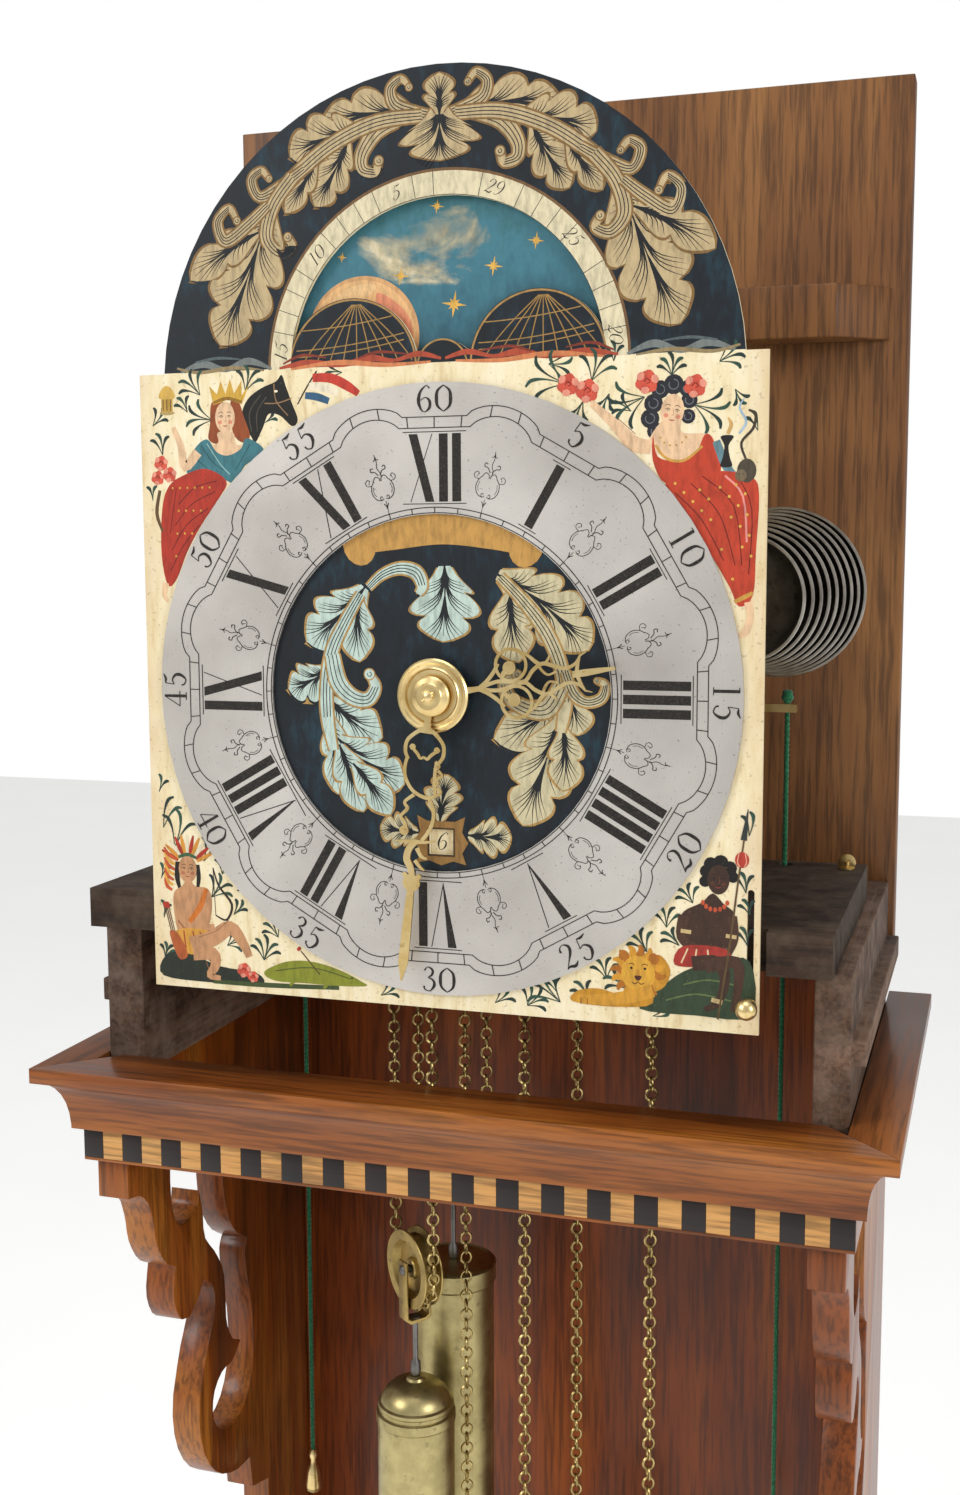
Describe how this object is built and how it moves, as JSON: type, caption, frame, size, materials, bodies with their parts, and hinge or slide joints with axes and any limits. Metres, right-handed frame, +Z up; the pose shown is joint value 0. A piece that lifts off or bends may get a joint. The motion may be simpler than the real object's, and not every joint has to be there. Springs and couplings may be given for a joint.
{
  "type": "wall clock",
  "caption": "Weight-driven musical wall clock with painted arched moon dial, silvered chapter ring, bell stack, chains and weights on a scrolled wall case with its hood off.",
  "frame": {"origin": "on the wall plane, straight behind the centre of the dial", "axes": "+Z up, +Y into the wall, +X to the right of the dial"},
  "size_m": [0.4316, 0.2827, 1.232],
  "materials": {
    "back_oak": "worn, dry oak",
    "tail_wood": "polished, knotty",
    "polished_wood": "french polished",
    "inlay_wood": "polished veneer",
    "old_oak": "rough, dusty",
    "dial_paint": "oil paint on iron",
    "silvered_brass": "silvered, engraved",
    "steel": "worn",
    "bell_metal": "cast and turned",
    "green_cord": "twisted",
    "bright_brass": "polished",
    "aged_brass": "aged"
  },
  "bodies": {
    "case": {"backboard": "back_oak", "backboard_batten": "back_oak", "tail_back_board": "tail_wood", "tail_front_board": "tail_wood", "tail_bottom_board": "tail_wood", "side_panel_left": "polished_wood", "side_panel_right": "polished_wood", "cornice_front": "polished_wood", "cornice_left": "polished_wood", "cornice_right": "polished_wood", "frieze_inlay": "inlay_wood", "cheek_left": "old_oak", "cheek_right": "old_oak", "seat_board": "old_oak", "seat_screw": "bright_brass", "dial_plate": "dial_paint", "chapter_ring": "silvered_brass", "movement_front_plate": "steel", "movement_back_plate": "steel", "suspension_cock": "bright_brass", "bell_1": "bell_metal", "bell_2": "bell_metal", "bell_3": "bell_metal", "bell_4": "bell_metal", "bell_5": "bell_metal", "bell_6": "bell_metal", "bell_7": "bell_metal", "bell_8": "bell_metal", "bell_9": "bell_metal", "bell_rod": "steel", "cord_left": "green_cord", "cord_left_pull": "bright_brass", "chain_a": "aged_brass", "chain_b": "aged_brass", "chain_c": "aged_brass"},
    "minute_hand": {"minute_hand": "bright_brass", "centre_wheel": "aged_brass"},
    "hour_hand": {"hour_hand": "bright_brass"},
    "date_ring": {"date_ring": "dial_paint"},
    "moon_disc": {"moon_disc": "dial_paint"},
    "escape_wheel": {"escape_wheel": "aged_brass"},
    "anchor": {"anchor": "steel"},
    "pendulum": {"pendulum_rod": "steel", "pendulum_bob": "bright_brass"},
    "going_great_wheel": {"going_great_wheel": "aged_brass"},
    "strike_great_wheel": {"strike_great_wheel": "aged_brass"},
    "music_great_wheel": {"music_great_wheel": "aged_brass"},
    "music_barrel": {"music_barrel": "aged_brass"},
    "selector": {"selector_knob": "bright_brass"},
    "repeat_lever": {"repeat_lever": "bright_brass"},
    "right_pull": {"cord_right": "green_cord", "cord_right_pull": "bright_brass"},
    "weight_a": {"weight_a": "aged_brass", "pulley_a_stirrup": "aged_brass"},
    "pulley_a": {"pulley_a": "aged_brass"},
    "weight_b": {"weight_b": "aged_brass", "pulley_b_stirrup": "aged_brass"},
    "pulley_b": {"pulley_b": "aged_brass"},
    "weight_c": {"weight_c": "aged_brass"}
  },
  "joints": [
    {"name": "minute_spin", "type": "hinge", "parent": "case", "child": "minute_hand", "pos_m": [0, -0.2, 0], "axis": [0, 1, 0], "continuous": true},
    {"name": "hour_spin", "type": "hinge", "parent": "case", "child": "hour_hand", "pos_m": [0, -0.2, 0], "axis": [0, 1, 0], "continuous": true},
    {"name": "date_spin", "type": "hinge", "parent": "case", "child": "date_ring", "pos_m": [0, -0.257, 0], "axis": [0, 1, 0], "continuous": true},
    {"name": "moon_spin", "type": "hinge", "parent": "case", "child": "moon_disc", "pos_m": [0.004, -0.255, 0.151], "axis": [0, 1, 0], "continuous": true},
    {"name": "escape_spin", "type": "hinge", "parent": "case", "child": "escape_wheel", "pos_m": [0, -0.16, 0.066], "axis": [0, 1, 0], "continuous": true},
    {"name": "going_spin", "type": "hinge", "parent": "case", "child": "going_great_wheel", "pos_m": [-0.03138, -0.17, -0.05], "axis": [0, 1, 0], "continuous": true},
    {"name": "strike_spin", "type": "hinge", "parent": "case", "child": "strike_great_wheel", "pos_m": [0.0144, -0.15, -0.05], "axis": [0, 1, 0], "continuous": true},
    {"name": "barrel_spin", "type": "hinge", "parent": "case", "child": "music_barrel", "pos_m": [0.052, -0.17, 0.062], "axis": [0, 1, 0], "continuous": true},
    {"name": "music_spin", "type": "hinge", "parent": "case", "child": "music_great_wheel", "pos_m": [0.0583, -0.2, -0.05], "axis": [0, 1, 0], "continuous": true},
    {"name": "pendulum_swing", "type": "hinge", "parent": "case", "child": "pendulum", "pos_m": [0, -0.0235, 0.102], "axis": [0, 1, 0], "range_deg": [-3, 3]},
    {"name": "anchor_rock", "type": "hinge", "parent": "case", "child": "anchor", "pos_m": [0, -0.16, 0.096], "axis": [0, 1, 0], "range_deg": [-3.2, 3.2]},
    {"name": "selector_slide", "type": "slide", "parent": "case", "child": "selector", "axis": [0, 0, 1], "range_m": [0, 0.0495]},
    {"name": "repeat_lever_tilt", "type": "hinge", "parent": "case", "child": "repeat_lever", "pos_m": [0.07, -0.1, -0.018], "axis": [0, 1, 0], "range_deg": [0, 10], "stiffness_Nm_per_rad": 0.25, "springref_deg": -22.92},
    {"name": "right_pull_drop", "type": "slide", "parent": "case", "child": "right_pull", "axis": [0, 0, -1], "range_m": [0, 0.013]},
    {"name": "weight_a_drop", "type": "slide", "parent": "case", "child": "weight_a", "axis": [0, 0, -1], "range_m": [0, 0.25], "deforming": ["chain_a"]},
    {"name": "weight_b_drop", "type": "slide", "parent": "case", "child": "weight_b", "axis": [0, 0, -1], "range_m": [0, 0.26], "deforming": ["chain_b"]},
    {"name": "weight_c_drop", "type": "slide", "parent": "case", "child": "weight_c", "axis": [0, 0, -1], "range_m": [-0.24, 0.06], "deforming": ["chain_c"]},
    {"name": "pulley_a_spin", "type": "hinge", "parent": "weight_a", "child": "pulley_a", "pos_m": [-0.0358, -0.201, -0.311], "axis": [0.6434, 0.7655, 0], "continuous": true},
    {"name": "pulley_b_spin", "type": "hinge", "parent": "weight_b", "child": "pulley_b", "pos_m": [-0.0312, -0.151, -0.262], "axis": [0, 1, 0], "continuous": true}
  ],
  "couplings": [
    {"joint": "hour_spin", "follows": "minute_spin", "ratio": 0.083333},
    {"joint": "date_spin", "follows": "minute_spin", "ratio": 0.001344},
    {"joint": "moon_spin", "follows": "minute_spin", "ratio": 0.000706},
    {"joint": "going_spin", "follows": "minute_spin", "ratio": -0.16667},
    {"joint": "music_spin", "follows": "barrel_spin", "ratio": -1},
    {"joint": "anchor_rock", "follows": "pendulum_swing", "ratio": 1},
    {"joint": "right_pull_drop", "follows": "repeat_lever_tilt", "m_per_rad": 0.073}
  ]
}
